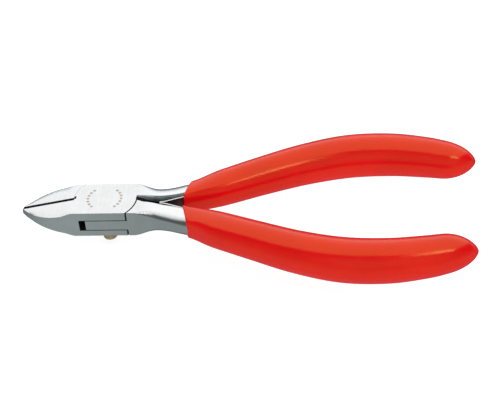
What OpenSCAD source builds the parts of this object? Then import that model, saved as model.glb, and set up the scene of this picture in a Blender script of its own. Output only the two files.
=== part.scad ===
// Flush cutter with a box joint, two leaf springs and dipped handle grips.
// Frame: the origin is on the pivot axis, in the back face of the joint, where the pivot stud leaves it.
// +X runs from the pivot towards the handles, +Y towards the outer arm's handle, +Z out of the front face.
// The jaws are closed. The inner arm opens by turning clockwise as seen from +Z.

/* [Joint] */
// Width of the joint, across both side faces
joint_w = 12.6; // [12.4:0.1:13]
// Thickness of the joint, from the back face to the front face
joint_t = 8.1; // [7.9:0.1:8.4]
// Thickness of the front cheek of the box
front_cheek_t = 2.55; // [2.3:0.05:2.7]
// Height of the slot that the inner arm's tongue passes through
slot_t = 3.6; // [3.3:0.1:3.7]
// How far the jaws open before the tongue meets its stop, in degrees
open_angle = 16; // [14:1:17]
// Diameter of the steel pivot pin
pin_d = 5; // [4.4:0.1:5.4]

/* [Pivot stud] */
// Diameter of the brass stud behind the joint
stud_d = 3.8; // [3.4:0.1:4.2]
// How far the stud stands out of the back face
stud_l = 5.6; // [4:0.1:7]

/* [Jaws] */
// Distance from the pivot axis to the tip of the jaws
jaw_l = 23.5; // [22:0.5:25]
// Distance from the pivot axis to the start of the taper and of the cutting edges
jaw_root = 8.4; // [8.2:0.1:8.6]
// Thickness of the jaws at the tip
tip_t = 1.75; // [1.5:0.05:2.2]
// Width of the small bevel on each cutting edge, on the front
bevel_w = 0.35; // [0.2:0.05:0.4]
// Half width of the hollow behind the cutting edges, at the joint
hollow_w = 3.6; // [3:0.1:4]

/* [Handles] */
// Distance from the pivot axis to the ends of the grips
handle_l = 101.5; // [101.5:0.5:104]
// Distance from the pivot axis to the ends of the steel cores inside the grips
core_l = 93; // [90:0.5:93]

/* [Springs] */
// Thickness of each leaf spring
spring_t = 0.4; // [0.4:0.05:0.5]
// Width of each leaf spring
spring_w = 4.2; // [3.6:0.1:4.4]
// Diameter of the rivet that holds each leaf spring
rivet_d = 1.8; // [1.6:0.1:2]

/* [Hidden] */
$fn = 96;

steel = "#b9bdbf";
dark_steel = "#8d9294";
brass = "#b08d4a";
red = "#d8141c";

run_gap = 0.03;        // running clearance on each side of the tongue, and of its bore
shut_gap = 0.01;       // half the gap between the closed cutting edges
arc_gap = 0.08;        // gap between the round ends of the cheeks and the inner arm
front_arc_r = 8.5;     // round end of the cheeks, towards the inner arm's jaw
rear_arc_r = 8.8;      // round end of the cheeks, towards the inner arm's handle
head_end = rear_arc_r + arc_gap + 0.2;  // where the forged heads end; the shanks start just before it
outer_root_y = 1;      // inner face of the outer arm where its shank starts
inner_root_y = 0.3;    // inner face of the inner arm where its shank starts
half_w = joint_w / 2;
half_t = joint_t / 2;
slot_top = half_t - front_cheek_t;      // the slot's two faces, from the middle plane
slot_bottom = slot_top - slot_t;
big = 60;              // reach of the half planes and cutting blocks

// Jaw taper and nose. The nose is one arc that is tangent to the side face at nose_x.
nose_x = -11;
nose_r = (pow(jaw_l + nose_x, 2) + pow(half_w, 2)) / (2 * half_w);
taper = atan((joint_t - tip_t) / 2 / (jaw_l - jaw_root));
edge_drop = 0.4;       // depth of the bevel on the cutting edges
edge_land = 0.06;      // height of the flat where the cutting edges meet
hollow_tip = 0.35;     // half width of the hollow at the tip

// Stop faces. The tongue's edge lies on the slot's wall when the jaws are fully open.
stop_r = 6.21;         // distance of the slot's walls from the pivot axis
stop_gap = 0.12;       // what is left between each wall and the tongue with the jaws fully open
stop_a = 175;          // direction of the slot's wall from the pivot axis

// Handle direction and spring seat, on the outer arm's side.
seat_a = 20.9;         // direction of the seat and of the spring's straight part
seat_at = [35, 7.67];  // a point on the seat
seat_from = -20;       // the seat's front and rear ends, measured along it from seat_at
seat_to = 4;
seat_z = 0.35;         // middle of the spring and of its seat, from the middle plane
seat_w = spring_w + 0.2;
spring_end = 3.6;      // rear end of the spring, measured along the seat
bend_r = 6;            // radius of the spring's curved part, which ends parallel to the other spring
tip_gap = 0.02;        // half the gap between the two springs' tips
bend_at = (tip_gap + spring_t + bend_r * (1 - cos(seat_a)) - seat_at[1]) / sin(seat_a);
rivet_at = 1;          // the rivet's place along the seat
rivet_head_d = 2.8;
rivet_head_t = 0.6;
rivet_depth = 4;
pocket_rise = 1.5;     // how far each pocket reaches above the seat, into the core's own room
pocket_r = 1.6;        // half width of the pocket for the rivet's head
leaf_gap = 0.05;       // room between the spring or its rivet and the grip
grip_gap = 0.04;       // room between a grip and its steel core

// Sections of the steel shank and core, and of the grip, on the outer arm's side:
// [x, y, z, half width, half thickness at the inner side, the same at the outer side, squareness]
core_rows = [
    [11.0, 3.40, -0.05, 2.70, 4.05, 3.60, 7],
    [12.5, 3.25, -0.12, 2.75, 3.95, 3.25, 4.4],
    [14.0, 3.25, -0.20, 2.80, 3.75, 3.10, 3.2],
    [16.0, 3.55, -0.25, 2.90, 3.45, 3.00, 2.7],
    [19.0, 4.20, -0.25, 3.05, 3.25, 3.00, 2.4],
    [22.0, 5.20, -0.25, 3.15, 3.30, 3.20, 2.2],
    [27.0, 7.20, -0.20, 3.05, 3.35, 3.30, 2.2],
    [32.0, 9.10, -0.10, 3.45, 3.50, 3.50, 2.1],
    [42.0, 13.4, 0.1, 3.90, 3.90, 3.90, 2],
    [54.0, 18.3, 0.1, 4.30, 4.30, 4.30, 2],
    [66.0, 21.5, 0.1, 4.50, 4.50, 4.50, 2],
    [78.0, 22.0, 0.1, 4.40, 4.40, 4.40, 2],
    [88.0, 20.6, 0.1, 3.90, 3.90, 3.90, 2],
    [core_l, 19.4, 0.1, 2.60, 2.60, 2.60, 2]];
grip_rows = [
    [22.4, 5.20, -0.15, 4.25, 4.10, 3.60, 3.2],
    [24.5, 6.05, -0.15, 4.30, 4.20, 3.75, 3.0],
    [27.0, 7.00, -0.15, 4.50, 4.50, 4.20, 2.6],
    [32.0, 9.00, -0.05, 4.95, 4.95, 4.85, 2.2],
    [42.0, 13.4, 0.1, 5.40, 5.40, 5.40, 2],
    [54.0, 18.3, 0.1, 5.80, 5.80, 5.80, 2],
    [66.0, 21.5, 0.1, 6.10, 6.10, 6.10, 2],
    [78.0, 22.0, 0.1, 6.05, 6.05, 6.05, 2],
    [88.0, 20.6, 0.1, 5.70, 5.70, 5.70, 2],
    [94.0, 19.2, 0.1, 5.30, 5.30, 5.30, 2],
    [handle_l, 18.4, 0.1, 5.00, 5.00, 5.00, 2]];
nose_from = 92.5;      // where the grip's rounded end starts
mouth_tilt = -14;      // direction of the grip's front rim, which the handle's own direction takes over by rim_to
rim_to = 34;

function head_row(root_y) = [core_x[0], (half_w + root_y) / 2, 0, (half_w - root_y) / 2 - 0.03,
                             half_t - 0.02, half_t - 0.02, 24];
function outer_rows() = concat([head_row(outer_root_y)], core_rows);
function inner_rows() = concat([head_row(inner_root_y)], core_rows);

// ---------- sweeps ----------

// One smooth row between the rows of a table, by cubic Hermite steps.
function rise(rows, i) =
    let (a = max(i - 1, 0), b = min(i + 1, len(rows) - 1))
    (rows[b] - rows[a]) / (rows[b][0] - rows[a][0]);
function step_of(rows, x) = max([for (i = [0 : len(rows) - 2]) x >= rows[i][0] ? i : 0]);
function row_at(rows, x) =
    let (i = step_of(rows, x), h = rows[i + 1][0] - rows[i][0], t = (x - rows[i][0]) / h)
    rows[i] * (1 + 2 * t) * pow(1 - t, 2) + rise(rows, i) * h * t * pow(1 - t, 2)
    + rows[i + 1] * t * t * (3 - 2 * t) + rise(rows, i + 1) * h * t * t * (t - 1);
function course(rows, x) =
    let (a = row_at(rows, x - 0.1), b = row_at(rows, x + 0.1)) atan2(b[1] - a[1], b[0] - a[0]);
function blend(t) = let (u = min(max(t, 0), 1)) u * u * (3 - 2 * u);
function spow(v, e) = sign(v) * pow(abs(v), e);

// A section: a superellipse whose half thickness changes from the inner side to the outer side.
function section(row, turn, grow, sides) = [
    for (k = [0 : sides - 1])
        let (a = 360 * (k + 0.5) / sides,
             u = spow(cos(a), 2 / row[6]),
             half = (row[4] + row[5]) / 2 + (row[5] - row[4]) / 2 * u + grow,
             y = (row[3] + grow) * u,
             z = half * spow(sin(a), 2 / row[6]))
        [row[0] - y * sin(turn), row[1] + y * cos(turn), row[2] + z]];

// A closed solid through rings of points, with flat ends.
module skin(rings) {
    n = len(rings[0]);
    m = len(rings);
    polyhedron(
        points = [for (r = rings) each r],
        faces = concat(
            [[for (k = [0 : n - 1]) k]],
            [[for (k = [0 : n - 1]) (m - 1) * n + n - 1 - k]],
            [for (i = [0 : m - 2], k = [0 : n - 1])
                let (j = (k + 1) % n) [i * n + k, (i + 1) * n + k, (i + 1) * n + j]],
            [for (i = [0 : m - 2], k = [0 : n - 1])
                let (j = (k + 1) % n) [i * n + k, (i + 1) * n + j, i * n + j]]),
        convexity = 6);
}

core_x = concat([head_end - 0.1, 10.2, 11, 11.8, 12.6, 13.6, 14.8, 16, 17.6, 19.4, 21.2, 23, 25, 27, 29.5, 32],
                [for (x = [36 : 6 : 84]) x], [88, 91, core_l]);

module core(rows, grow = 0) {
    skin([for (x = core_x)
        section(row_at(rows, x), course(rows, max(x, 10)) * blend((x - 11) / 12), grow, 24)]);
}

function nose(x) = pow(1 - pow(max(x - nose_from, 0) / (handle_l - nose_from), 2), 0.62);
function grip_turn(x) =
    let (s = blend((x - grip_rows[0][0]) / (rim_to - grip_rows[0][0])))
    mouth_tilt * (1 - s) + course(grip_rows, x) * s;
grip_x = concat([grip_rows[0][0], 24, 25.6, 27, 29, 31.5, 34], [for (x = [38 : 4.5 : 92]) x],
                [93.6, 95.2, 96.8, 98.2, 99.4, 100.4, 101, 101.35, handle_l - 0.03]);

module grip_body() {
    skin([for (x = grip_x)
        let (r = row_at(grip_rows, x), s = nose(x))
        section([r[0], r[1], r[2], r[3] * s, r[4] * s, r[5] * s, r[6]], grip_turn(x), 0, 28)]);
}

// ---------- plane shapes of the head ----------

module half_plane(angle, distance) {
    rotate(angle) translate([distance, -big]) square([2 * big, 2 * big]);
}

// The head's outline above the middle line, from the tip to the start of the shank.
module upper_outline() {
    intersection() {
        union() {
            translate([nose_x, half_w - nose_r]) circle(nose_r);
            translate([nose_x, 0]) square([head_end - nose_x, half_w]);
        }
        translate([-jaw_l, 0]) square([jaw_l + head_end, half_w]);
    }
}

module quarter(x_side, y_side) {
    translate([x_side > 0 ? 0 : -big, y_side > 0 ? 0 : -big]) square(big);
}

module outer_plan() {
    intersection() {
        mirror([0, 1]) upper_outline();
        union() {
            quarter(-1, -1);
            circle(rear_arc_r);
        }
    }
    intersection() {
        upper_outline();
        union() {
            circle(front_arc_r);
            intersection() {
                quarter(1, 1);
                union() {
                    circle(rear_arc_r);
                    translate([0, outer_root_y]) quarter(1, 1);
                }
            }
        }
    }
}

// Where the slot runs through the outer arm: between the two stop walls.
module slot_plan(grow) {
    difference() {
        square([4 * rear_arc_r, 2 * half_w + 2], center = true);
        intersection() {
            half_plane(stop_a, stop_r + grow);
            translate([0, -grow]) quarter(-1, -1);
        }
        rotate(180) intersection() {
            half_plane(stop_a, stop_r + grow);
            translate([0, -grow]) quarter(-1, -1);
        }
    }
}

// The tongue: what is left between the stop walls when they are turned by the opening angle.
module tongue_plan() {
    difference() {
        intersection() {
            slot_plan(-run_gap);
            translate([-head_end - 1, -half_w]) square([2 * head_end + 1, 2 * half_w]);
        }
        for (turn = [0, 180]) rotate(turn) intersection() {
            half_plane(stop_a + open_angle, stop_r - stop_gap);
            translate([0, shut_gap]) quarter(-1, -1);
        }
        // clear of the outer arm's own jaw and handle
        for (turn = [0, 180]) rotate(turn) translate([-big - jaw_root, -big + shut_gap]) square(big);
    }
}

module inner_full_plan() {
    difference() {
        intersection() {
            upper_outline();
            translate([0, shut_gap]) quarter(-1, 1);
        }
        circle(front_arc_r + arc_gap);
    }
    difference() {
        translate([0, -half_w]) square([head_end, half_w - inner_root_y]);
        circle(rear_arc_r + arc_gap);
    }
}

// ---------- cutting blocks for the jaws, from the middle plane ----------

module between(low, high) {
    translate([0, 0, low]) linear_extrude(high - low) children();
}

// Removes what lies above the sloping front face, or below the sloping back face.
module taper_blocks() {
    for (side = [0, 1]) mirror([0, 0, side])
        translate([-jaw_root, -big, half_t]) rotate([0, -taper, 0])
            translate([-big, 0, 0]) cube([big, 2 * big, big]);
}

// A wedge along the jaws. Its corners at the tip and at the joint are [y, z] pairs.
module wedge(joint_end, tip_end) {
    x0 = -jaw_l - 1;
    x1 = -jaw_root + 1.6;
    slide = function (x) (x + jaw_root) / (jaw_root - jaw_l);
    corner = function (i, x) joint_end[i] + (tip_end[i] - joint_end[i]) * slide(x);
    skin([for (x = [x0, x1]) [for (i = [2, 1, 0]) [x, corner(i, x)[0], corner(i, x)[1]]]]);
}

edge_z = half_t - edge_drop;
tip_z = tip_t / 2;
under = 6;             // how far the wedges reach past the faces

// The hollow behind one cutting edge, and the small bevel in front of it, on the side of +Y.
module edge_wedges() {
    hollow_y = hollow_w * (edge_z + under) / (edge_z + half_t);
    tip_edge = tip_z - edge_drop;
    hollow_tip_y = hollow_tip * (tip_edge + under) / (tip_edge + tip_z);
    wedge([[0, edge_z - edge_land], [hollow_y, -under], [-1, -under]],
          [[0, tip_edge - edge_land], [hollow_tip_y, -under], [-1, -under]]);
    wedge([[0, edge_z], [-1, under], [bevel_w * (under - edge_z) / edge_drop, under]],
          [[0, tip_edge], [-1, under], [bevel_w * (under - tip_edge) / edge_drop, under]]);
}

// ---------- spring seat ----------

module at_seat() {
    translate([seat_at[0], seat_at[1], seat_z]) rotate(seat_a) children();
}

// The flat milled into the shank's inner side.
module seat_cut() {
    at_seat() translate([seat_from, -big, -seat_w / 2]) cube([seat_to - seat_from, big, seat_w]);
}

module rivet_hole() {
    at_seat() translate([rivet_at, rivet_depth, 0]) rotate([90, 0, 0])
        cylinder(h = rivet_depth + big, d = rivet_d, $fn = 48);
}

// The spring's curved part and what lies round it, from the seat down to a depth and up to a height.
module bend_ring(depth, height) {
    translate([bend_at, bend_r]) rotate(-90) intersection() {
        difference() {
            circle(bend_r + depth, $fn = 240);
            circle(bend_r - height, $fn = 240);
        }
        polygon([[0, 0], [2 * bend_r, 0], [2 * bend_r * cos(seat_a), -2 * bend_r * sin(seat_a)]]);
    }
}

module outer_side_spring() {
    difference() {
        at_seat() between(-spring_w / 2, spring_w / 2) {
            translate([bend_at, -spring_t]) square([spring_end - bend_at, spring_t]);
            bend_ring(spring_t, 0);
        }
        rivet_hole();
    }
}

module outer_side_rivet() {
    at_seat() translate([rivet_at, 0, 0]) rotate([90, 0, 0]) {
        translate([0, 0, -rivet_depth]) cylinder(h = rivet_depth + spring_t, d = rivet_d, $fn = 48);
        translate([0, 0, spring_t]) cylinder(h = rivet_head_t, d = rivet_head_d, $fn = 48);
    }
}

// Room in the grip for the spring and for the rivet's head.
module spring_pocket() {
    depth = spring_t + leaf_gap;
    between(-seat_w / 2, seat_w / 2) {
        translate([bend_at, -depth]) square([seat_to + 0.3 - bend_at, depth + pocket_rise]);
        bend_ring(depth, pocket_rise);
    }
    head_depth = depth + rivet_head_t;
    translate([rivet_at - pocket_r, -head_depth, -pocket_r])
        cube([2 * pocket_r, head_depth + pocket_rise, 2 * pocket_r]);
}

module outer_side_grip() {
    difference() {
        grip_body();
        core(outer_rows(), grip_gap);
        at_seat() spring_pocket();
    }
}

// ---------- parts ----------

module in_frame() {
    translate([0, 0, half_t]) children();
}

module outer_arm() {
    color(steel) in_frame() difference() {
        union() {
            between(-half_t, half_t) outer_plan();
            core(outer_rows());
        }
        between(slot_bottom, slot_top) slot_plan(0);
        cylinder(h = 2 * big, d = pin_d, center = true);
        taper_blocks();
        difference() {
            mirror([0, 1, 0]) edge_wedges();
            cylinder(h = 2 * big, r = front_arc_r, center = true, $fn = 180);
        }
        seat_cut();
        rivet_hole();
    }
}

module inner_arm() {
    color(steel) in_frame() difference() {
        union() {
            between(-half_t, half_t) inner_full_plan();
            between(slot_bottom + run_gap, slot_top - run_gap) tongue_plan();
            mirror([0, 1, 0]) core(inner_rows());
        }
        cylinder(h = 2 * big, d = pin_d + 2 * run_gap, center = true);
        taper_blocks();
        difference() {
            edge_wedges();
            cylinder(h = 2 * big, r = front_arc_r, center = true, $fn = 180);
        }
        mirror([0, 1, 0]) {
            seat_cut();
            rivet_hole();
        }
    }
}

thread_d = 2.5;        // the stud's screwed end
thread_l = 4;

module pivot_pin() {
    color(steel) difference() {
        cylinder(h = joint_t, d = pin_d);
        translate([0, 0, -1]) cylinder(h = thread_l + 1.2, d = thread_d);
    }
}

module pivot_stud() {
    edge = 0.3;
    color(brass) {
        rotate_extrude() polygon([[0, 0], [stud_d / 2, 0], [stud_d / 2, edge - stud_l],
                                  [stud_d / 2 - edge, -stud_l], [0, -stud_l]]);
        cylinder(h = thread_l, d = thread_d);
    }
}

module outer_spring() { color(dark_steel) in_frame() outer_side_spring(); }
module inner_spring() { color(dark_steel) in_frame() mirror([0, 1, 0]) outer_side_spring(); }
module outer_spring_rivet() { color(dark_steel) in_frame() outer_side_rivet(); }
module inner_spring_rivet() { color(dark_steel) in_frame() mirror([0, 1, 0]) outer_side_rivet(); }
module outer_grip() { color(red) in_frame() outer_side_grip(); }
module inner_grip() { color(red) in_frame() mirror([0, 1, 0]) outer_side_grip(); }

outer_arm();
inner_arm();
pivot_pin();
pivot_stud();
outer_spring();
inner_spring();
outer_spring_rivet();
inner_spring_rivet();
outer_grip();
inner_grip();
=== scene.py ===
"""Looks of the flush cutter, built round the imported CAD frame. Sizes below are in millimetres."""

import math

import bpy
import numpy as np
from mathutils import Matrix, Vector


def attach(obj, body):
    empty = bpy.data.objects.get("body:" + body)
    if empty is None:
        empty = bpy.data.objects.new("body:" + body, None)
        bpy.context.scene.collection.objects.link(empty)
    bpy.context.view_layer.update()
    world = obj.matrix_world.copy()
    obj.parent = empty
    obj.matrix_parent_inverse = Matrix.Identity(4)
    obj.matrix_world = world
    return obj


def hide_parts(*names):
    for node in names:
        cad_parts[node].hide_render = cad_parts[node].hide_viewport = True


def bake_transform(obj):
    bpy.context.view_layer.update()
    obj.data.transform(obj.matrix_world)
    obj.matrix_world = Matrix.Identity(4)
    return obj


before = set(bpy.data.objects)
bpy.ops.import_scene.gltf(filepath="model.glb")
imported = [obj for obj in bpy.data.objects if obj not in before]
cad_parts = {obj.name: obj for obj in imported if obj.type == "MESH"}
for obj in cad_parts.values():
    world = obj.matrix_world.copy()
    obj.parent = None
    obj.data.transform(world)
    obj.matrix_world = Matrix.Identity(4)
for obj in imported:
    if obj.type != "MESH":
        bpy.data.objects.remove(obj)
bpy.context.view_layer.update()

MM = 0.001
OUTER, INNER = "outer_half", "inner_half"

# ---------- sizes, as in the CAD ----------

MID = 4.05             # height of the joint's middle plane above the origin
HALF_T = 4.05
HALF_W = 6.3
TOP = MID + HALF_T
JAW_L = 23.5
JAW_ROOT = 8.4
TIP_T = 1.75
NOSE_X = -11.0
NOSE_R = ((JAW_L + NOSE_X) ** 2 + HALF_W ** 2) / (2 * HALF_W)
TAPER = (2 * HALF_T - TIP_T) / 2 / (JAW_L - JAW_ROOT)
FRONT_ARC, REAR_ARC = 8.5, 8.8
SLOT_LOW, SLOT_HIGH = 1.95, 5.55
STOP_R, STOP_A, OPEN_A = 6.21, 175.0, 16.0
STOP_GAP = 0.12        # what is left between tongue and slot with the jaws fully open
PIN_R = 2.5
STUD_R, STUD_L = 1.9, 5.6
HANDLE_END = 101.5
SEAT_A = math.radians(20.9)
SEAT_AT = np.array([35.0, 7.67])
ALONG = np.array([math.cos(SEAT_A), math.sin(SEAT_A)])
UP = np.array([-math.sin(SEAT_A), math.cos(SEAT_A)])
SEAT_Z = MID + 0.35
SEAT_FROM, SEAT_TO = -20, 4           # the seat's ends, along it from SEAT_AT
SEAT_ROOM = 0.1        # what the seat has beside the spring
SPRING_T, SPRING_W = 0.4, 4.2
BEND_R = 6.0
BELOW, ABOVE = -3, 12  # heights that lie past both faces, for cutting blocks

# ---------- small tools ----------


def smooth(t):
    t = np.clip(t, 0.0, 1.0)
    return t * t * (3 - 2 * t)


def row_at(rows, x):
    """A smooth row between the rows of a table, by cubic Hermite steps, as in the CAD."""
    rows = np.asarray(rows, float)
    i = int(np.clip(np.searchsorted(rows[:, 0], x, "right") - 1, 0, len(rows) - 2))

    def rise(k):
        a, b = max(k - 1, 0), min(k + 1, len(rows) - 1)
        return (rows[b] - rows[a]) / (rows[b][0] - rows[a][0])

    h = rows[i + 1][0] - rows[i][0]
    t = (x - rows[i][0]) / h
    return (rows[i] * (1 + 2 * t) * (1 - t) ** 2 + rise(i) * h * t * (1 - t) ** 2
            + rows[i + 1] * t * t * (3 - 2 * t) + rise(i + 1) * h * t * t * (t - 1))


def course(rows, x):
    a, b = row_at(rows, x - 0.1), row_at(rows, x + 0.1)
    return math.atan2(b[1] - a[1], b[0] - a[0])


def raw_object(name, verts, faces):
    """A mesh object still in millimetres, with its faces turned outwards."""
    verts = np.asarray(verts, float)
    total = 0.0
    for f in faces:
        p = verts[list(f)]
        for k in range(1, len(p) - 1):
            total += np.dot(p[0], np.cross(p[k], p[k + 1]))
    if total < 0:
        faces = [tuple(reversed(f)) for f in faces]
    mesh = bpy.data.meshes.new(name)
    mesh.from_pydata([tuple(v) for v in verts], [], [tuple(f) for f in faces])
    mesh.update()
    obj = bpy.data.objects.new(name, mesh)
    bpy.context.scene.collection.objects.link(obj)
    return obj


def loft(name, rings):
    """A closed solid through rings of points, with flat ends."""
    n = len(rings[0])
    faces = [tuple(range(n)), tuple(reversed(range((len(rings) - 1) * n, len(rings) * n)))]
    for i in range(len(rings) - 1):
        for k in range(n):
            j = (k + 1) % n
            faces.append((i * n + j, i * n + k, (i + 1) * n + k, (i + 1) * n + j))
    return raw_object(name, np.concatenate(rings), faces)


def prism(name, outline, low, high):
    return loft(name, [[(x, y, z) for x, y in outline] for z in (low, high)])


def arc(r, start, stop, steps=48, cx=0.0, cy=0.0):
    return [(cx + r * math.cos(a), cy + r * math.sin(a))
            for a in np.radians(np.linspace(start, stop, steps + 1))]


def disc(name, r, low, high, sides=144):
    return prism(name, arc(r, 0, 360, sides)[:-1], low, high)


def combine(base, other, operation):
    """Adds, takes away or crosses other with base, and drops other."""
    mod = base.modifiers.new("join", "BOOLEAN")
    mod.operation, mod.solver, mod.object = operation, "MANIFOLD", other
    graph = bpy.context.evaluated_depsgraph_get()
    mesh = bpy.data.meshes.new_from_object(base.evaluated_get(graph))
    base.modifiers.clear()
    base.data = mesh
    bpy.data.objects.remove(other)
    return base


def mirrored(rings):
    return [[(x, -y, z) for x, y, z in ring] for ring in rings]


def shade(mesh, angle=30.0):
    """Smooth shading, with edges sharper than the angle kept crisp."""
    mesh.polygons.foreach_set("use_smooth", [True] * len(mesh.polygons))
    mesh.set_sharp_from_angle(angle=math.radians(angle))


def settle(obj, body, material, slot, *nodes, angle=30.0):
    """From millimetres to metres, then its place in the frame."""
    obj.data.transform(Matrix.Scale(MM, 4))
    if len(obj.data.materials) < 2:
        obj.data.materials.clear()
        obj.data.materials.append(material)
    shade(obj.data, angle)
    if body:
        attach(obj, body)
    if nodes:
        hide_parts(*nodes)
    return obj


# ---------- sections of the arms and grips ----------

# [x, y, z, half width, half thickness, outer corner y, outer corner z, inner corner y, inner corner z]
SHANK = [
    [8.4, 3.65, 0, 2.65, 4.05, 0.18, 0.18, 0.4, 0.4],
    [9.3, 3.64, 0, 2.65, 4.05, 0.70, 0.40, 0.5, 0.5],
    [10.2, 3.55, -0.03, 2.66, 4.05, 1.40, 0.80, 0.65, 0.65],
    [11.0, 3.40, -0.05, 2.70, 4.02, 2.10, 1.15, 0.8, 0.8],
    [12.5, 3.25, -0.12, 2.74, 3.88, 3.10, 1.65, 1.0, 1.0],
    [14.0, 3.25, -0.20, 2.80, 3.68, 3.60, 1.95, 1.2, 1.2],
    [16.0, 3.55, -0.25, 2.92, 3.42, 3.80, 2.10, 1.4, 1.4],
    [19.0, 4.20, -0.25, 3.08, 3.30, 4.00, 2.20, 1.55, 1.6],
    [22.0, 5.20, -0.25, 3.14, 3.32, 3.90, 2.40, 1.65, 1.7],
    [27.0, 7.20, -0.20, 3.05, 3.35, 3.02, 3.30, 3.0, 3.3],
    [32.0, 9.10, -0.10, 3.45, 3.50, 3.40, 3.45, 3.4, 3.45],
    [42.0, 13.4, 0.1, 3.90, 3.90, 3.85, 3.85, 3.85, 3.85],
    [54.0, 18.3, 0.1, 4.30, 4.30, 4.25, 4.25, 4.25, 4.25],
    [66.0, 21.5, 0.1, 4.50, 4.50, 4.45, 4.45, 4.45, 4.45],
    [78.0, 22.0, 0.1, 4.40, 4.40, 4.35, 4.35, 4.35, 4.35],
    [88.0, 20.6, 0.1, 3.90, 3.90, 3.85, 3.85, 3.85, 3.85],
    [93.0, 19.4, 0.1, 2.60, 2.60, 2.55, 2.55, 2.55, 2.55]]
# [x, y, z, half width, half thickness at the inner side, the same at the outer side, squareness]
GRIP = [
    [22.4, 5.20, -0.15, 4.25, 4.10, 3.60, 3.2],
    [24.5, 6.05, -0.15, 4.30, 4.20, 3.75, 3.0],
    [27.0, 7.00, -0.15, 4.50, 4.50, 4.20, 2.6],
    [32.0, 9.00, -0.05, 4.95, 4.95, 4.85, 2.2],
    [42.0, 13.4, 0.1, 5.40, 5.40, 5.40, 2],
    [54.0, 18.3, 0.1, 5.80, 5.80, 5.80, 2],
    [66.0, 21.5, 0.1, 6.10, 6.10, 6.10, 2],
    [78.0, 22.0, 0.1, 6.05, 6.05, 6.05, 2],
    [88.0, 20.6, 0.1, 5.70, 5.70, 5.70, 2],
    [94.0, 19.2, 0.1, 5.30, 5.30, 5.30, 2],
    [HANDLE_END, 18.4, 0.1, 5.00, 5.00, 5.00, 2]]
NOSE_FROM = 92.5
CORNER_STEPS = 10
SIDE_STOPS = (0.03, 0.35, 0.65, 0.97)
FACE_STOPS = (0.03, 0.15, 0.3, 0.45, 0.6, 0.72, 0.82, 0.9, 0.97)
CROWN = 0.52           # how far the jaw faces fall towards their outer edges
INNER_POWER = 1.48     # bevel-like inner corners of the shanks


def box_ring(y0, y1, z0, z1, outer, inner, stops=SIDE_STOPS, power=1.0):
    """A rectangle with elliptical corners, as (y, z) points: outer corners at y1, inner ones at y0.
    A power above 1 flattens the inner corners towards a bevel."""
    corners = [(y0, z0, inner, 180), (y1, z0, outer, 270), (y1, z1, outer, 0), (y0, z1, inner, 90)]
    ends = []
    for y, z, (ry, rz), start in corners:
        cy = y + (ry if y == y0 else -ry)
        cz = z + (rz if z == z0 else -rz)
        angles = np.radians(np.linspace(start, start + 90, CORNER_STEPS + 1))
        e = power if y == y0 else 1.0
        ends.append([(cy + ry * math.copysign(abs(math.cos(a)) ** e, math.cos(a)),
                      cz + rz * math.copysign(abs(math.sin(a)) ** e, math.sin(a))) for a in angles])
    ring = []
    for k, run in enumerate(ends):
        ring += run
        a, b = np.array(run[-1]), np.array(ends[(k + 1) % 4][0])
        ring += [tuple(a + (b - a) * s) for s in stops]
    return ring


def half_width(x):
    if x >= NOSE_X:
        return HALF_W
    return math.sqrt(NOSE_R ** 2 - (x - NOSE_X) ** 2) - (NOSE_R - HALF_W)


def head_ring(x, y_in):
    """A section of the head's upper half, with slightly crowned jaw faces."""
    y1 = max(half_width(x), y_in + 0.25)
    fall = TAPER * max(-JAW_ROOT - x, 0)
    low, high = fall, TOP - fall
    r = min(0.16, 0.3 * (y1 - y_in))
    crown = CROWN * smooth((-JAW_ROOT - x) / 3.5) * smooth((x + JAW_L) / 3.0)
    points = []
    for y, z in box_ring(y_in, y1, low, high, (r, r), (0.03, 0.03), FACE_STOPS):
        side = (z - MID) / (high - MID)
        points.append((x, y, z - crown * side * (max(y, 0) / y1) ** 3.2))
    return points


def shank_ring(x, y_in_head=None):
    row = row_at(SHANK, x)
    turn = course(SHANK, max(x, 10.0)) * smooth((x - 11) / 12)
    half, thick = row[3], row[4]
    outer = (min(row[5], 1.4 * half), min(row[6], 0.98 * thick))
    inner = (min(row[7], 2 * half - outer[0] - 0.02), min(row[8], 0.98 * thick))
    y0 = -half if y_in_head is None else y_in_head - row[1]
    ring = box_ring(y0, half, -thick, thick, outer, inner, FACE_STOPS, INNER_POWER)
    return [(x - y * math.sin(turn), row[1] + y * math.cos(turn), MID + row[2] + z) for y, z in ring]


def grip_nose(x):
    return (1 - (max(x - NOSE_FROM, 0) / (HANDLE_END - NOSE_FROM)) ** 2) ** 0.62


def super_ring(row, turn, grow, scale=1.0, sides=56):
    points = []
    for k in range(sides):
        a = 2 * math.pi * (k + 0.5) / sides
        e = 2 / row[6]
        u = math.copysign(abs(math.cos(a)) ** e, math.cos(a))
        w = math.copysign(abs(math.sin(a)) ** e, math.sin(a))
        half = ((row[4] + row[5]) / 2 + (row[5] - row[4]) / 2 * u) * scale + grow
        y = (row[3] * scale + grow) * u
        points.append((row[0] - y * math.sin(turn), row[1] + y * math.cos(turn), MID + row[2] + half * w))
    return points


def grip_turn(x):
    s = float(smooth((x - GRIP[0][0]) / (34 - GRIP[0][0])))
    return math.radians(-14) * (1 - s) + course(GRIP, x) * s


# ---------- materials ----------


MARK_R, DOT_R, DOT_STEP = 4.6, 0.42, 0.27     # radius of the rows, of a dot, and radians between dots
DOTS = 7               # dots in each row
MARK_INK = (0.30, 0.25, 0.19)
# Painted light and shade on the shanks: a lighter painted sheen on their front faces, painted shade on their
# inner and outer sides and along the crease.
SHANK_FACE_SHEEN = (0.65, 0.66, 0.66)
# [normal's y where a painted shade is full, where it has gone, colour]: painted shade and reflection on the
# upper shank's inner side
INWARD_SHADES = [[-0.36, -0.06, (0.085, 0.105, 0.11)], [-0.95, -0.70, (0.02, 0.017, 0.014)]]
OUTWARD_SHADE = (0.20, 0.22, 0.22)
CREASE_SHADE = (0.22, 0.235, 0.225)


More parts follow.
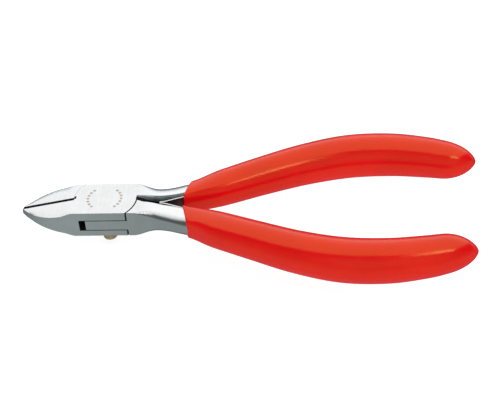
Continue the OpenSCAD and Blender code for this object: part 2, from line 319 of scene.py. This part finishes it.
class Nodes:
    """Short hand for building one material's node tree."""

    def __init__(self, name):
        self.mat = bpy.data.materials.new(name)
        self.mat.use_nodes = True
        self.tree = self.mat.node_tree
        self.bsdf = self.tree.nodes["Principled BSDF"]

    def add(self, kind, **values):
        node = self.tree.nodes.new(kind)
        for key, value in values.items():
            setattr(node, key, value)
        return node

    def link(self, a, b):
        self.tree.links.new(a, b)

    def math(self, op, a, b=None):
        node = self.add("ShaderNodeMath", operation=op)
        for socket, value in zip(node.inputs, (a, b)):
            if value is None:
                continue
            if isinstance(value, (int, float)):
                socket.default_value = value
            else:
                self.link(value, socket)
        return node.outputs[0]

    def mix(self, factor, a, b, blend="MIX"):
        node = self.add("ShaderNodeMix", data_type="RGBA", blend_type=blend)
        for socket, value in ((node.inputs[0], factor), (node.inputs[6], a), (node.inputs[7], b)):
            if isinstance(value, (int, float)):
                socket.default_value = value
            elif isinstance(value, tuple):
                socket.default_value = (*value, 1.0)
            else:
                self.link(value, socket)
        return node.outputs[2]

    def place(self, scale=(1, 1, 1)):
        """Object coordinates in millimetres, stretched by scale."""
        coords = self.add("ShaderNodeTexCoord")
        mapping = self.add("ShaderNodeMapping")
        mapping.inputs["Scale"].default_value = [1000 * s for s in scale]
        self.link(coords.outputs["Object"], mapping.inputs["Vector"])
        return mapping.outputs[0]

    def noise(self, scale, detail=3.0, rough=0.55):
        node = self.add("ShaderNodeTexNoise")
        node.inputs["Scale"].default_value = 1.0
        node.inputs["Detail"].default_value = detail
        node.inputs["Roughness"].default_value = rough
        self.link(self.place(scale), node.inputs["Vector"])
        return node.outputs["Fac"]

    def ramp(self, value, low, high, to_low=0.0, to_high=1.0):
        node = self.add("ShaderNodeMapRange", clamp=True)
        for k, v in zip(range(1, 5), (low, high, to_low, to_high)):
            node.inputs[k].default_value = v
        self.link(value, node.inputs[0])
        return node.outputs[0]

    def bump(self, *layers):
        """Bump from (height, strength, distance in millimetres) layers."""
        normal = None
        for height, strength, distance in layers:
            node = self.add("ShaderNodeBump")
            node.inputs["Strength"].default_value = strength
            node.inputs["Distance"].default_value = distance * MM
            self.link(height, node.inputs["Height"])
            if normal is not None:
                self.link(normal, node.inputs["Normal"])
            normal = node.outputs[0]
        self.link(normal, self.bsdf.inputs["Normal"])


def shank_painted_shades(n, colour, flat, normal, spot):
    """Painted shade and reflections on the shanks, by the normal and the place, which stand in for dark
    surroundings.
    """
    beyond = n.ramp(spot.outputs[0], 9.5, 14.0)
    # Painted sheen: the shanks' front faces lighter beyond the head.
    colour = n.mix(n.math("MULTIPLY", beyond, flat), colour, SHANK_FACE_SHEEN)
    above = n.math("MULTIPLY", n.math("GREATER_THAN", spot.outputs[1], 0.3), beyond)
    # Painted shade and reflection on the upper shank's inner side.
    for low, high, tint in INWARD_SHADES:
        inward = n.ramp(normal.outputs[1], low, high, 0.95, 0.0)
        colour = n.mix(n.math("MULTIPLY", inward, above), colour, tint)
    # Painted shade on the sides facing outwards.
    outward = n.ramp(normal.outputs[1], 0.04, 0.34, 0.0, 0.85)
    colour = n.mix(n.math("MULTIPLY", outward, above), colour, OUTWARD_SHADE)
    # Painted shade along the lower shank's crease.
    crease = n.ramp(normal.outputs[1], -0.70, -0.30, 0.75, 0.0)
    crease = n.math("MULTIPLY", crease, n.ramp(flat, 0.0, 0.2))
    crease = n.math("MULTIPLY", crease, n.ramp(spot.outputs[1], -0.3, -1.0))
    crease = n.math("MULTIPLY", crease, n.ramp(spot.outputs[0], 9.0, 10.5))
    return n.mix(crease, colour, CREASE_SHADE)


def steel_material(name, front, side, marks=False, brush=(3.4, 0.12, 0.2)):
    """Ground steel: bright polished faces across Z, greyer ground faces round the sides, and fine lines.
    With marks it is the arms' steel, which has the shanks' painted shade and reflections, side faces painted
    lighter towards the jaw tip and darker towards the shanks, and the rows of dots."""
    n = Nodes(name)
    lines = n.noise(brush, 4.0, 0.7)
    fine = n.noise(tuple(3.2 * b for b in brush), 2.0, 0.6)
    patches = n.noise((0.22, 0.3, 0.3), 3.0, 0.5)
    geometry = n.add("ShaderNodeNewGeometry")
    normal = n.add("ShaderNodeSeparateXYZ")
    n.link(geometry.outputs["Normal"], normal.inputs[0])
    flat = n.ramp(n.math("ABSOLUTE", normal.outputs[2]), 0.35, 0.95)
    colour = n.mix(flat, side, front)
    streak = n.ramp(lines, 0.3, 0.7, 0.93, 1.05)
    cloud = n.ramp(patches, 0.3, 0.7, 0.96, 1.03)
    tone = n.math("MULTIPLY", streak, cloud)
    if marks:
        spot = n.add("ShaderNodeSeparateXYZ")
        n.link(n.place(), spot.inputs[0])
        # Side faces painted lighter towards the jaw tip and darker towards the shanks: painted light and shade.
        side_light_ramp = n.ramp(spot.outputs[0], -20, 10, 0.15, -0.06)
        side_light_ramp = n.math("MULTIPLY", side_light_ramp, n.math("SUBTRACT", 1.0, flat))
        tone = n.math("MULTIPLY", tone, n.math("ADD", side_light_ramp, 1.0))
    grey = n.add("ShaderNodeCombineColor")
    for k in range(3):
        n.link(tone, grey.inputs[k])
    colour = n.mix(1.0, colour, grey.outputs[0], "MULTIPLY")
    rough = n.math("ADD", n.ramp(lines, 0.3, 0.7, -0.05, 0.08), n.ramp(flat, 0.0, 1.0, 0.40, 0.27))
    if marks:
        colour = shank_painted_shades(n, colour, flat, normal, spot)
        ink = mark_mask(n)
        colour = n.mix(n.math("MULTIPLY", ink, 0.8), colour, MARK_INK)
        rough = n.math("ADD", rough, n.math("MULTIPLY", ink, 0.2))
    n.link(colour, n.bsdf.inputs["Base Color"])
    n.link(rough, n.bsdf.inputs["Roughness"])
    n.bsdf.inputs["Metallic"].default_value = 1.0
    n.bump((lines, 0.10, 0.010), (fine, 0.06, 0.004))
    return n.mat


def mark_mask(n):
    """Two curved rows of plain round dots left and right of the pivot, on the front face only."""
    parts = n.add("ShaderNodeSeparateXYZ")
    n.link(n.place(), parts.inputs[0])
    x, y, z = parts.outputs
    radius = n.math("SQRT", n.math("ADD", n.math("MULTIPLY", x, x), n.math("MULTIPLY", y, y)))
    angle = n.math("ARCTAN2", y, n.math("ABSOLUTE", x))
    along = n.math("ADD", n.math("MULTIPLY", angle, 1 / DOT_STEP), 8.5)
    along = n.math("SUBTRACT", n.math("FRACT", along), 0.5)
    along = n.math("MULTIPLY", along, DOT_STEP * MARK_R)
    across = n.math("SUBTRACT", radius, MARK_R)
    off = n.math("SQRT", n.math("ADD", n.math("MULTIPLY", along, along), n.math("MULTIPLY", across, across)))
    dot = n.ramp(off, DOT_R - 0.05, DOT_R + 0.05, 1.0, 0.0)
    sweep = n.math("LESS_THAN", n.math("ABSOLUTE", angle), DOTS / 2 * DOT_STEP)
    front = n.math("GREATER_THAN", z, TOP - 0.05)
    worn = n.ramp(n.noise((4, 4, 4), 3.0), 0.36, 0.55, 0.6, 1.0)
    return n.math("MULTIPLY", n.math("MULTIPLY", dot, worn), n.math("MULTIPLY", sweep, front))


# A near-black material for the faces inside the joint's gaps, slot and notch: painted shade.
def gap_shade_material():
    n = Nodes("painted_gap_shade")
    grain = n.noise((3, 3, 3), 4.0)
    n.link(n.mix(grain, (0.004, 0.004, 0.004), (0.02, 0.018, 0.016)), n.bsdf.inputs["Base Color"])
    n.link(n.ramp(grain, 0.2, 0.8, 0.55, 0.8), n.bsdf.inputs["Roughness"])
    n.bsdf.inputs["Specular IOR Level"].default_value = 0.12
    n.bump((grain, 0.2, 0.02))
    return n.mat


def plastic_material():
    n = Nodes("dipped_plastic")
    ripple = n.noise((0.10, 0.16, 0.16), 2.0, 0.4)
    peel = n.noise((0.9, 1.1, 1.1), 2.0, 0.5)
    dust = n.noise((7, 7, 7), 2.0, 0.7)
    deep = n.mix(n.ramp(ripple, 0.25, 0.75), (0.60, 0.002, 0.006), (0.68, 0.003, 0.008))
    colour = n.mix(n.ramp(dust, 0.66, 0.80, 0.0, 0.12), deep, (0.62, 0.10, 0.08))
    n.link(colour, n.bsdf.inputs["Base Color"])
    n.link(n.math("ADD", n.ramp(peel, 0.3, 0.7, 0.17, 0.22), n.ramp(dust, 0.6, 0.8, 0.0, 0.08)),
           n.bsdf.inputs["Roughness"])
    n.bsdf.inputs["IOR"].default_value = 1.50
    n.bsdf.inputs["Specular Tint"].default_value = (1.0, 0.90, 0.26, 1.0)
    n.bsdf.inputs["Subsurface Weight"].default_value = 0.06
    n.bsdf.inputs["Subsurface Radius"].default_value = (1.0, 0.15, 0.1)
    n.bsdf.inputs["Subsurface Scale"].default_value = 0.001
    n.bump((ripple, 0.18, 0.15), (peel, 0.08, 0.02), (dust, 0.05, 0.01))
    return n.mat


def brass_material():
    n = Nodes("turned_brass")
    lines = n.noise((0.3, 0.3, 9), 3.0, 0.6)
    stain = n.noise((0.7, 0.7, 0.7), 4.0, 0.6)
    colour = n.mix(n.ramp(stain, 0.35, 0.7), (0.76, 0.57, 0.28), (0.50, 0.36, 0.17))
    n.link(n.mix(n.ramp(lines, 0.3, 0.7, 0.0, 0.3), colour, (0.72, 0.58, 0.34)), n.bsdf.inputs["Base Color"])
    n.link(n.ramp(stain, 0.3, 0.7, 0.28, 0.48), n.bsdf.inputs["Roughness"])
    n.bsdf.inputs["Metallic"].default_value = 1.0
    n.bump((lines, 0.3, 0.02))
    return n.mat


STEEL = steel_material("ground_steel", (0.60, 0.61, 0.61), (0.58, 0.62, 0.62), marks=True)
SPRING_STEEL = steel_material("spring_steel", (0.60, 0.60, 0.59), (0.12, 0.10, 0.085), brush=(0.5, 0.5, 7.0))
# Near-black steel for the walls of the V at the cutting edges: painted shade, so the closed edges read as a
# dark line.
EDGE_SHADE_STEEL = steel_material("painted_edge_shade", (0.10, 0.10, 0.10), (0.08, 0.08, 0.08))
GAP_SHADE = gap_shade_material()
RED = plastic_material()
BRASS = brass_material()

# ---------- arms ----------

JAW_X = list(np.linspace(-JAW_L + 0.02, -21.5, 14)) + list(np.linspace(-21.2, -9.0, 42)) \
    + [-8.7, -8.46, -8.4, -8.34]
BODY_X = [-8.0, -4.0, 0.0, 4.0, 7.6, 8.2]
SHANK_X = list(np.linspace(8.42, 24.0, 64)) + list(np.linspace(25, 34, 10)) \
    + list(np.linspace(37, 91, 19)) + [92, 93]
SHUT = 0.012           # half the gap between the closed edges
LEFT_GAP, RIGHT_GAP = 0.05, 0.38     # gaps at the round ends of the cheeks
TONGUE_GAP = 0.25
GROOVE_DEPTH, GROOVE_W = 1.1, 0.50   # the V in front of each cutting edge
HOLLOW_W = (3.4, 0.35)               # width of the hollow behind it, at the joint and at the tip
EDGE_LAND = 0.12                     # height of the flat where the edges meet
JOINT_REACH = 9.5                    # no face inside the joint lies further from the pivot along X


def wall_x(y, angle, distance):
    """Where the line at that direction and distance from the pivot crosses the height y."""
    a = math.radians(angle)
    return (distance - y * math.sin(a)) / math.cos(a)


def edge_cut(side):
    """The V in front of the cutting edges, and the hollow behind them, on one side of the middle line."""
    front, back = [], []
    for x in (-JAW_L - 1, -JAW_ROOT + 0.02):
        fall = TAPER * (-JAW_ROOT - x)
        top, low = TOP - fall, fall
        slope = GROOVE_W / GROOVE_DEPTH
        front.append([(x, -0.5 * side, top + 2), (x, (GROOVE_W + 2 * slope) * side, top + 2),
                      (x, 0.0, top - GROOVE_DEPTH), (x, -0.5 * side, top - GROOVE_DEPTH)])
        share = (x + JAW_L) / (JAW_L - JAW_ROOT)
        reach = HOLLOW_W[1] + (HOLLOW_W[0] - HOLLOW_W[1]) * share
        height = (top - GROOVE_DEPTH - EDGE_LAND) - low
        slope = reach / height
        back.append([(x, -0.5 * side, top - GROOVE_DEPTH - EDGE_LAND), (x, 0.0, top - GROOVE_DEPTH - EDGE_LAND),
                     (x, (reach + 2 * slope) * side, low - 2), (x, -0.5 * side, low - 2)])
    return [loft("cut", front), loft("cut", back)]


def slot_outline():
    w0, w7 = wall_x(0, STOP_A, STOP_R), wall_x(-7.3, STOP_A, STOP_R)
    return [(w7, -7.3), (12, -7.3), (12, 0), (-w0, 0), (-w7, 7.3), (-12, 7.3), (-12, 0), (w0, 0)]


def paint(obj, *tests):
    """Steel, with painted shade (a near-black material) on the gap faces where a test passes for a face's
    centre in mm and its normal, and near-black steel as painted shade on the walls of the V at the cutting
    edges."""
    obj.data.materials.clear()
    for material in (STEEL, GAP_SHADE, EDGE_SHADE_STEEL):
        obj.data.materials.append(material)
    for p in obj.data.polygons:
        gap = any(t(p.center, p.normal) for t in tests)
        p.material_index = 2 if on_edge(p.center, p.normal) else 1 if gap else 0


# The tests below pick the faces that get the painted gap shade: the slot, the tongue's faces, the round ends of
# the cheeks and the relief notch.
def in_slot(c, n):
    inside = SLOT_LOW - 0.01 < c.z < SLOT_HIGH + 0.01 and abs(c.y) < HALF_W - 0.02 and abs(c.x) < JOINT_REACH
    return inside and (abs(c.z - SLOT_LOW) < 0.02 or abs(c.z - SLOT_HIGH) < 0.02 or abs(n.z) < 0.1)


def on_tongue(c, n):
    near = min(abs(c.z - SLOT_LOW - TONGUE_GAP), abs(c.z - SLOT_HIGH + TONGUE_GAP)) < 0.02
    return near and abs(n.z) > 0.9 and abs(c.x) < JOINT_REACH


def on_round_end(c, n):
    r = math.hypot(c.x, c.y)
    near = FRONT_ARC - 0.55 < r < REAR_ARC + 0.35 and abs(c.y) < HALF_W - 0.05
    return near and abs(n.z) < 0.2 and abs(n.x * c.x + n.y * c.y) / r > 0.8


# The walls of the V at the cutting edges, which get the near-black steel as painted shade.
def on_edge(c, n):
    near = c.x < -JAW_ROOT + 0.1 and abs(c.y) < GROOVE_W + 0.02 and c.z > MID - 1.0
    return near and abs(n.y) > 0.7 and c.y * n.y < 0.01


def in_relief(c, n):
    return -8.7 < c.x < -7.8 and 0 < c.y < 1.3 and c.z > SLOT_HIGH - 0.6 and abs(n.z) < 0.3


def seat_block(side):
    """The room below a spring's seat, which leaves the flat it lies on."""
    corners = ((SEAT_FROM, -3), (SEAT_TO, -3), (SEAT_TO, 0), (SEAT_FROM, 0))
    ends = [SEAT_AT + ALONG * t + UP * v for t, v in corners]
    return prism("cut", [(x, side * y) for x, y in ends],
                 SEAT_Z - SPRING_W / 2 - SEAT_ROOM, SEAT_Z + SPRING_W / 2 + SEAT_ROOM)


# outer arm: lower jaw and cheeks, joined to the upper shank
lower = loft("outer_arm_look", mirrored(
    [head_ring(x, 0.0 if x > -JAW_ROOT else SHUT) for x in JAW_X + BODY_X + [9.2]]))
upper = loft("upper", [head_ring(x, -0.5) for x in [-9.2] + JAW_X[-3:] + BODY_X]
             + [shank_ring(x, -0.5 if x < REAR_ARC else None) for x in SHANK_X])
rear_room = arc(REAR_ARC, 7, -60) + [(4.5, -12), (15, -12), (15, 1.1)]
front_room = arc(FRONT_ARC, 187, 118) + [(-4, 12), (-15, 12), (-15, -1.03)]
combine(lower, prism("cut", rear_room, BELOW, ABOVE), "DIFFERENCE")
combine(upper, prism("cut", front_room, BELOW, ABOVE), "DIFFERENCE")
outer = combine(lower, upper, "UNION")
combine(outer, prism("cut", slot_outline(), SLOT_LOW, SLOT_HIGH), "DIFFERENCE")
combine(outer, disc("cut", PIN_R, BELOW, ABOVE), "DIFFERENCE")
relief = arc(FRONT_ARC - 0.55, 180, 172.2, 8) + arc(FRONT_ARC + 0.1, 173.4, 180, 8)
combine(outer, prism("cut", relief, SLOT_HIGH - 0.5, ABOVE), "DIFFERENCE")
for cut in edge_cut(-1):
    combine(outer, cut, "DIFFERENCE")
combine(outer, seat_block(1), "DIFFERENCE")
paint(outer, in_slot, on_round_end, in_relief)
settle(outer, OUTER, STEEL, "steel", "outer_arm")

# inner arm: upper jaw, tongue and lower shank
jaw = loft("inner_arm_look", [head_ring(x, SHUT) for x in JAW_X + [-7.5, -6.5, -5.2]])
combine(jaw, disc("cut", FRONT_ARC + LEFT_GAP, BELOW, ABOVE), "DIFFERENCE")
for cut in edge_cut(1):
    combine(jaw, cut, "DIFFERENCE")
low_shank = loft("shank", mirrored(
    [[(x, y, z) for _, y, z in shank_ring(8.4, 0.3)] for x in (6.0, 6.8, 7.6, 8.2)]
    + [shank_ring(x, 0.3 + 0.4 * float(smooth((x - 8.8) / 2.2)) if x < 11.0 else None) for x in SHANK_X]))
combine(low_shank, disc("cut", REAR_ARC + RIGHT_GAP, BELOW, ABOVE), "DIFFERENCE")
w0 = wall_x(0, STOP_A + OPEN_A, STOP_R - STOP_GAP)
w6 = wall_x(-HALF_W, STOP_A + OPEN_A, STOP_R - STOP_GAP)
tongue_plan = [(w6, -HALF_W), (9.3, -HALF_W), (9.3, -0.35), (8.9, -0.35), (8.9, -SHUT),
               (-w0, -SHUT), (-w6, HALF_W), (-9.3, HALF_W), (-9.3, SHUT), (w0, SHUT)]
tongue = prism("tongue", tongue_plan, SLOT_LOW + TONGUE_GAP, SLOT_HIGH - TONGUE_GAP)
combine(tongue, disc("cut", PIN_R + 0.03, BELOW, ABOVE), "DIFFERENCE")
inner = combine(jaw, tongue, "UNION")
combine(inner, low_shank, "UNION")
combine(inner, seat_block(-1), "DIFFERENCE")
paint(inner, on_tongue, on_round_end)
settle(inner, INNER, STEEL, "steel", "inner_arm")

# ---------- pivot ----------


def turned(name, profile, sides=96):
    """A lathed solid round the pivot axis from (radius, z) points, lowest first."""
    angles = np.linspace(0, 2 * math.pi, sides, endpoint=False)
    return loft(name, [[(r * math.cos(a), r * math.sin(a), z) for a in angles] for r, z in profile])


pin = turned("pivot_pin_look", [(PIN_R - 0.2, 0.0), (PIN_R - 0.03, 0.0), (PIN_R - 0.004, 0.03),
                                (PIN_R - 0.004, TOP - 0.01), (PIN_R - 0.01, TOP), (PIN_R - 0.3, TOP)])
combine(pin, disc("cut", 1.25, -1, 4.2), "DIFFERENCE")
settle(pin, OUTER, STEEL, "steel", "pivot_pin")
stud = turned("pivot_stud_look", [(0.2, -STUD_L)] + [
    (STUD_R - 0.35 + 0.35 * math.sin(a), -STUD_L + 0.06 + 0.30 * (1 - math.cos(a)))
    for a in np.radians(np.linspace(0, 90, 8))] + [
    (STUD_R, -4.2), (STUD_R - 0.05, -4.1), (STUD_R - 0.05, -3.9), (STUD_R, -3.8),
    (STUD_R, -0.12), (STUD_R - 0.1, -0.01), (1.24, -0.01), (1.24, 3.9), (1.1, 4.0)])
settle(stud, OUTER, BRASS, "brass", "pivot_stud")

# ---------- springs ----------


BEND_AT = (0.02 + SPRING_T + BEND_R * (1 - math.cos(SEAT_A)) - SEAT_AT[1]) / math.sin(SEAT_A)


def leaf_solid(name, side, grow=0.0, rise=0.0, rear=3.6):
    """A leaf along its seat and round its bend, or the room for one, grown all round and raised."""
    centre = SEAT_AT + ALONG * BEND_AT + UP * BEND_R
    path = [(SEAT_AT + ALONG * t, SEAT_A) for t in np.linspace(rear, BEND_AT, 30)]
    for a in np.linspace(SEAT_A, 0, 26)[1:]:
        path.append((centre + np.array([math.sin(a), -math.cos(a)]) * BEND_R, a))
    rings = []
    for k, (p, a) in enumerate(path):
        end = min(k, len(path) - 1 - k)
        narrow = 0 if grow else (0.35, 0.12, 0.02, 0.0)[min(end, 3)]
        thin = 0 if grow else (0.06, 0.01, 0.0)[min(end, 2)]
        half = SPRING_W / 2 - narrow + grow
        ring = box_ring(-SPRING_T - grow + thin, rise - thin, -half, half, (0.09, 0.09), (0.09, 0.09))
        rings.append([(p[0] - v * math.sin(a), side * (p[1] + v * math.cos(a)), SEAT_Z + z) for v, z in ring])
    return loft(name, rings)


for name, side, own, other in (("outer_spring_look", 1, OUTER, INNER),
                               ("inner_spring_look", -1, INNER, OUTER)):
    leaf = settle(leaf_solid(name, side), None, SPRING_STEEL, "spring_steel", name.replace("_look", ""))
    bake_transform(leaf)

# ---------- grips ----------

GRIP_X = list(np.linspace(23.0, 34, 34)) + list(np.linspace(34.6, 92, 90)) \
    + list(np.linspace(92.5, 99.5, 22)) + [99.9, 100.3, 100.6, 100.85, 101.05, 101.2, 101.32, 101.4, 101.455]
RIM = 0.42             # radius of the rolled front rim
INSET = -0.03          # keeps the finer sections inside the CAD outline


def grip(name, side):
    rings = []
    first = row_at(GRIP, GRIP[0][0])
    for a in np.radians(np.linspace(0, 80, 7)):
        shift = RIM * (1 - math.sin(a))
        row = row_at(GRIP, GRIP[0][0] + shift)
        row[0] = first[0] + shift
        roll = RIM * (1 - math.sin(math.acos(1 - shift / RIM)))
        rings.append(super_ring(row, grip_turn(row[0]), INSET - roll))
    for x in GRIP_X:
        rings.append(super_ring(row_at(GRIP, x), grip_turn(x), INSET * grip_nose(x), grip_nose(x)))
    rings = sorted(rings, key=lambda r: np.mean([p[0] for p in r]))
    body = loft(name, rings if side > 0 else mirrored(rings))
    hollow = []
    for ring in [shank_ring(x) for x in SHANK_X if x > 19]:
        c = np.mean(ring, axis=0)
        hollow.append([tuple(c + (np.array(p) - c) * 1.02) for p in ring])
    combine(body, loft("cut", hollow if side > 0 else mirrored(hollow)), "DIFFERENCE")
    combine(body, leaf_solid("cut", side, 0.06, 1.5, 4.3), "DIFFERENCE")
    # the room for the rivet's head
    corners = [SEAT_AT + ALONG * t + UP * v
               for t, v in ((-0.6, -1.05), (2.6, -1.05), (2.6, 1.5), (-0.6, 1.5))]
    cut = prism("cut", [(x, side * y) for x, y in corners], SEAT_Z - 1.6, SEAT_Z + 1.6)
    combine(body, cut, "DIFFERENCE")
    return settle(body, OUTER if side > 0 else INNER, RED, "red_plastic", name.replace("_look", ""), angle=50)


grip("outer_grip_look", 1)
grip("inner_grip_look", -1)

# ---------- carried-over CAD nodes ----------

for node in ("outer_spring_rivet", "inner_spring_rivet"):
    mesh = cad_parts[node].data
    mesh.materials.clear()
    mesh.materials.append(SPRING_STEEL)

# ---------- floor, light and camera ----------


def plain(name, colour, rough):
    n = Nodes(name)
    speck = n.noise((0.05, 0.05, 0.05), 2.0)
    n.link(n.mix(speck, colour, tuple(min(1.0, c * 1.02) for c in colour)), n.bsdf.inputs["Base Color"])
    n.bsdf.inputs["Roughness"].default_value = rough
    n.bsdf.inputs["Emission Color"].default_value = (1, 1, 1, 1)
    n.bsdf.inputs["Emission Strength"].default_value = 0.78
    return n.mat


FLOOR_Z = -STUD_L - 0.05
FLOOR_REACH = 6.0      # metres
floor_mesh = bpy.data.meshes.new("floor")
floor_corners = [(x * FLOOR_REACH, y * FLOOR_REACH, FLOOR_Z * MM)
                 for x, y in ((-1, -1), (1, -1), (1, 1), (-1, 1))]
floor_mesh.from_pydata(floor_corners, [], [(0, 1, 2, 3)])
floor_mesh.materials.append(plain("pale_floor", (0.50, 0.50, 0.50), 0.9))
floor = bpy.data.objects.new("floor", floor_mesh)
bpy.context.scene.collection.objects.link(floor)
floor.visible_glossy = False


def area(name, at, target, size, radiance):
    """A panel, with its places and its size in metres."""
    light = bpy.data.lights.new(name, "AREA")
    light.shape, light.size, light.size_y = "RECTANGLE", size[0], size[1]
    light.energy = radiance * math.pi * size[0] * size[1]
    obj = bpy.data.objects.new(name, light)
    bpy.context.scene.collection.objects.link(obj)
    obj.location = at
    obj.rotation_euler = (Vector(target) - Vector(at)).to_track_quat("-Z", "Y").to_euler()
    return obj


CENTRE = (0.04, 0.0, 0.0)


def softbox(name, direction, distance, size, radiance):
    """A panel of the given size in metres that faces the middle of the tool."""
    at = Vector(CENTRE) + Vector(direction).normalized() * distance
    return area(name, at, CENTRE, size, radiance)


softbox("overhead_panel", (0.0, 0.42, 0.91), 1.0, (2.4, 2.2), 1.42)
area("streak_strip", (0.59, -0.47, 0.84), (0.59, 0.0, 0.0), (0.44, 0.19), 6.5)
fill = softbox("front_fill", (0.1, -0.85, 0.55), 1.3, (1.6, 1.0), 1.5)
fill.visible_glossy = False

# The surround, by direction in the plane across the tool: [degrees from +Y towards +Z, brightness]
SURROUND = [[-180, 0.34], [-170, 0.38], [-158, 0.48], [-139, 0.48], [-90, 0.30], [-50, 0.10], [-30, 0.14],
            [-10, 0.22], [5, 0.32], [14, 1.20], [20, 0.50], [26, 0.08], [113, 0.06], [128, 0.10], [148, 0.26],
            [180, 0.34]]
world = bpy.data.worlds.new("studio")
world.use_nodes = True
tree = world.node_tree
background = tree.nodes["Background"]
direction = tree.nodes.new("ShaderNodeTexCoord")
split = tree.nodes.new("ShaderNodeSeparateXYZ")
turn = tree.nodes.new("ShaderNodeMath")
turn.operation = "ARCTAN2"
share = tree.nodes.new("ShaderNodeMapRange")
share.inputs[1].default_value, share.inputs[2].default_value = -math.pi, math.pi
fade = tree.nodes.new("ShaderNodeValToRGB")
tree.links.new(direction.outputs["Generated"], split.inputs[0])
tree.links.new(split.outputs[2], turn.inputs[0])
tree.links.new(split.outputs[1], turn.inputs[1])
tree.links.new(turn.outputs[0], share.inputs[0])
tree.links.new(share.outputs[0], fade.inputs[0])
tree.links.new(fade.outputs[0], background.inputs["Color"])
stops = fade.color_ramp.elements
stops[0].position, stops[1].position = 0.0, 1.0
for degrees, level in SURROUND[1:-1]:
    stops.new((degrees + 180) / 360)
for stop, (degrees, level) in zip(stops, SURROUND):
    stop.color = (level * 0.93, level, level, 1)
bpy.context.scene.world = world

LENS, SENSOR = 130.7, 36.0
CAMERA_AT = (91.4, -374.1, 322.2 + MID)
camera_data = bpy.data.cameras.new("camera")
camera_data.lens, camera_data.sensor_width = LENS, SENSOR
camera_data.clip_start, camera_data.clip_end = 0.01, 20.0
camera = bpy.data.objects.new("camera", camera_data)
bpy.context.scene.collection.objects.link(camera)
back = Vector((0.1039, -0.7534, 0.6493)).normalized()
right = Vector((0.9945, 0.0708, -0.0769))
right = (right - back * right.dot(back)).normalized()
up = back.cross(right)
camera.matrix_world = Matrix((
    (right.x, up.x, back.x, CAMERA_AT[0] * MM), (right.y, up.y, back.y, CAMERA_AT[1] * MM),
    (right.z, up.z, back.z, CAMERA_AT[2] * MM), (0, 0, 0, 1)))
bpy.context.scene.camera = camera
bpy.context.scene.view_settings.view_transform = "Standard"
